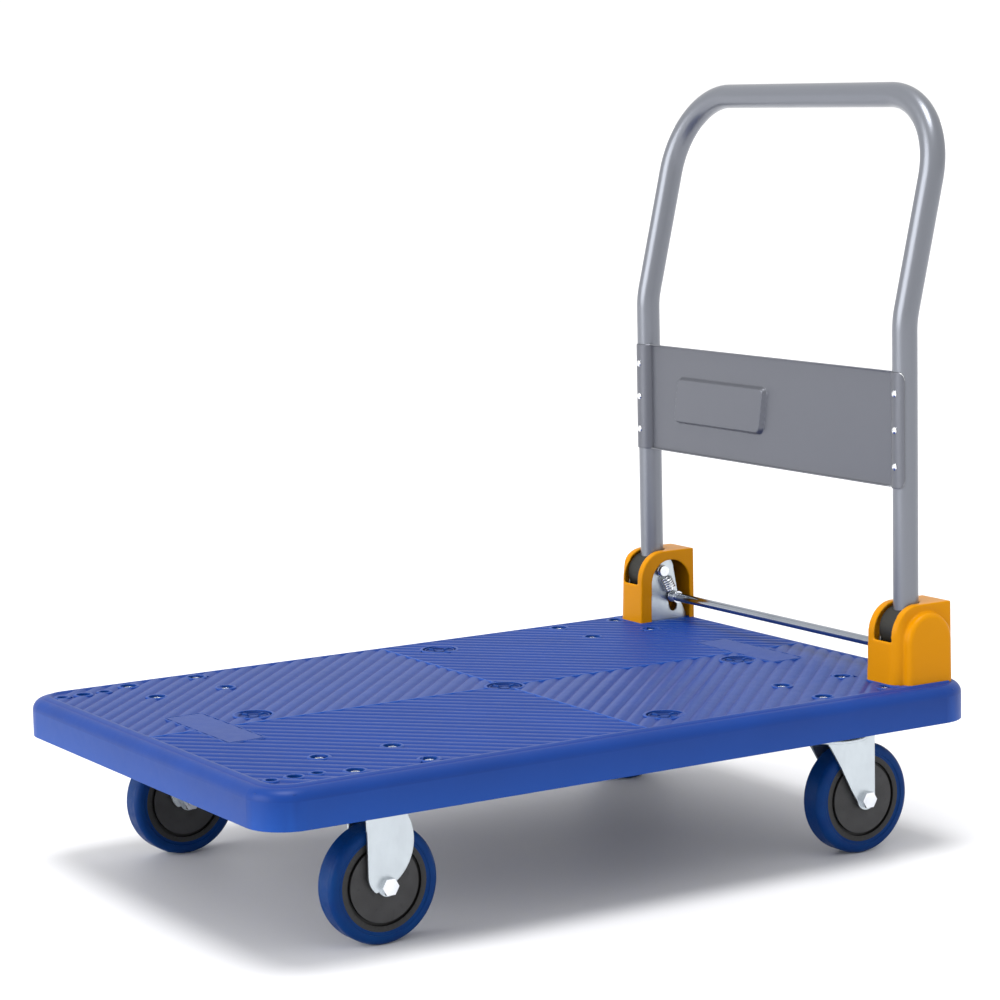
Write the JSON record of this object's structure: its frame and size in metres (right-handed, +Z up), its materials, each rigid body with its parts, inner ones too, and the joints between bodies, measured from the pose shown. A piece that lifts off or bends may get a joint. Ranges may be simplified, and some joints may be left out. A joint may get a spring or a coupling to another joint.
{
  "type": "folding platform cart",
  "caption": "Flat ribbed plastic deck on two fixed and two swivel casters, with a push handle that folds over the deck and a sprung foot rod.",
  "frame": {"origin": "on the floor under the middle of the cart's outline", "axes": "+X to the handle end, +Y to the right of the person pushing, +Z up"},
  "size_m": [0.9143, 0.608, 0.862],
  "materials": {
    "deck_plastic": "satin moulded polypropylene, fine grain",
    "plug_plastic": "moulded polypropylene",
    "cover_plastic": "semi-gloss moulded plastic",
    "zinc_steel": "bright zinc plated pressed steel",
    "bolt_steel": "zinc plated steel",
    "rod_chrome": "bright chromed steel",
    "spring_steel": "bright spring wire",
    "tube_paint": "silver metallic powder coat",
    "shoe_cast": "dark grey casting",
    "bush_nylon": "natural nylon",
    "panel_paint": "grey metallic powder coat",
    "rivet_aluminium": "aluminium pop rivets",
    "sleeve_steel": "ground steel",
    "bearing_steel": "bearing steel with grey shields",
    "tyre_rubber": "blue elastic rubber",
    "hub_plastic": "dark grey nylon",
    "guard_plastic": "dark grey nylon"
  },
  "bodies": {
    "chassis": {"deck": "deck_plastic", "deck_plugs": "plug_plastic", "hinge_bracket_left": "zinc_steel", "hinge_bracket_right": "zinc_steel", "hinge_cover_left": "cover_plastic", "hinge_cover_right": "cover_plastic", "bracket_bolts": "bolt_steel", "bracket_nuts": "bolt_steel", "pivot_bolts": "bolt_steel", "pivot_nuts": "bolt_steel", "lock_spring_left": "spring_steel", "lock_spring_right": "spring_steel", "fixed_fork_left": "zinc_steel", "fixed_fork_right": "zinc_steel", "fixed_axle_bolts": "bolt_steel", "fixed_axle_nuts": "bolt_steel", "fixed_axle_sleeves": "sleeve_steel", "swivel_plate_left": "zinc_steel", "swivel_plate_right": "zinc_steel", "swivel_balls_left": "sleeve_steel", "swivel_balls_right": "sleeve_steel", "kingpin_left": "bolt_steel", "kingpin_right": "bolt_steel", "caster_bolts": "bolt_steel", "caster_nuts": "bolt_steel", "caster_washers": "bolt_steel"},
    "pedal": {"foot_rod": "rod_chrome", "rod_collars": "bolt_steel", "rod_clips": "bolt_steel"},
    "handle": {"handle_tube": "tube_paint", "leg_shoe_left": "shoe_cast", "leg_shoe_right": "shoe_cast", "pivot_bushes": "bush_nylon", "handle_panel": "panel_paint", "panel_rivets": "rivet_aluminium"},
    "swivel_left": {"swivel_fork_left": "zinc_steel", "swivel_axle_bolt_left": "bolt_steel", "swivel_axle_nut_left": "bolt_steel", "swivel_axle_sleeve_left": "sleeve_steel"},
    "swivel_right": {"swivel_fork_right": "zinc_steel", "swivel_axle_bolt_right": "bolt_steel", "swivel_axle_nut_right": "bolt_steel", "swivel_axle_sleeve_right": "sleeve_steel"},
    "front_left_wheel": {"front_left_tyre": "tyre_rubber", "front_left_hub": "hub_plastic", "front_left_guards": "guard_plastic", "front_left_bearings": "bearing_steel"},
    "front_right_wheel": {"front_right_tyre": "tyre_rubber", "front_right_hub": "hub_plastic", "front_right_guards": "guard_plastic", "front_right_bearings": "bearing_steel"},
    "rear_left_wheel": {"rear_left_tyre": "tyre_rubber", "rear_left_hub": "hub_plastic", "rear_left_guards": "guard_plastic", "rear_left_bearings": "bearing_steel"},
    "rear_right_wheel": {"rear_right_tyre": "tyre_rubber", "rear_right_hub": "hub_plastic", "rear_right_guards": "guard_plastic", "rear_right_bearings": "bearing_steel"}
  },
  "joints": [
    {"name": "handle_fold", "type": "hinge", "parent": "chassis", "child": "handle", "pos_m": [0.38285, 0, 0.257], "axis": [0, -1, 0], "range_deg": [0, 90]},
    {"name": "pedal_press", "type": "slide", "parent": "chassis", "child": "pedal", "axis": [0.1908, 0, -0.9816], "range_m": [0, 0.014], "stiffness_N_per_m": 3000, "springref_m": -0.01, "deforming": ["lock_spring_left", "lock_spring_right"]},
    {"name": "swivel_turn_left", "type": "hinge", "parent": "chassis", "child": "swivel_left", "pos_m": [0.29485, -0.23, 0.147], "axis": [0, 0, 1], "continuous": true},
    {"name": "swivel_turn_right", "type": "hinge", "parent": "chassis", "child": "swivel_right", "pos_m": [0.29485, 0.23, 0.147], "axis": [0, 0, 1], "continuous": true},
    {"name": "front_left_roll", "type": "hinge", "parent": "chassis", "child": "front_left_wheel", "pos_m": [-0.29515, -0.23, 0.0635], "axis": [0, 1, 0], "continuous": true},
    {"name": "rear_left_roll", "type": "hinge", "parent": "swivel_left", "child": "rear_left_wheel", "pos_m": [0.32485, -0.23, 0.0635], "axis": [0, 1, 0], "continuous": true},
    {"name": "front_right_roll", "type": "hinge", "parent": "chassis", "child": "front_right_wheel", "pos_m": [-0.29515, 0.23, 0.0635], "axis": [0, 1, 0], "continuous": true},
    {"name": "rear_right_roll", "type": "hinge", "parent": "swivel_right", "child": "rear_right_wheel", "pos_m": [0.32485, 0.23, 0.0635], "axis": [0, 1, 0], "continuous": true}
  ]
}
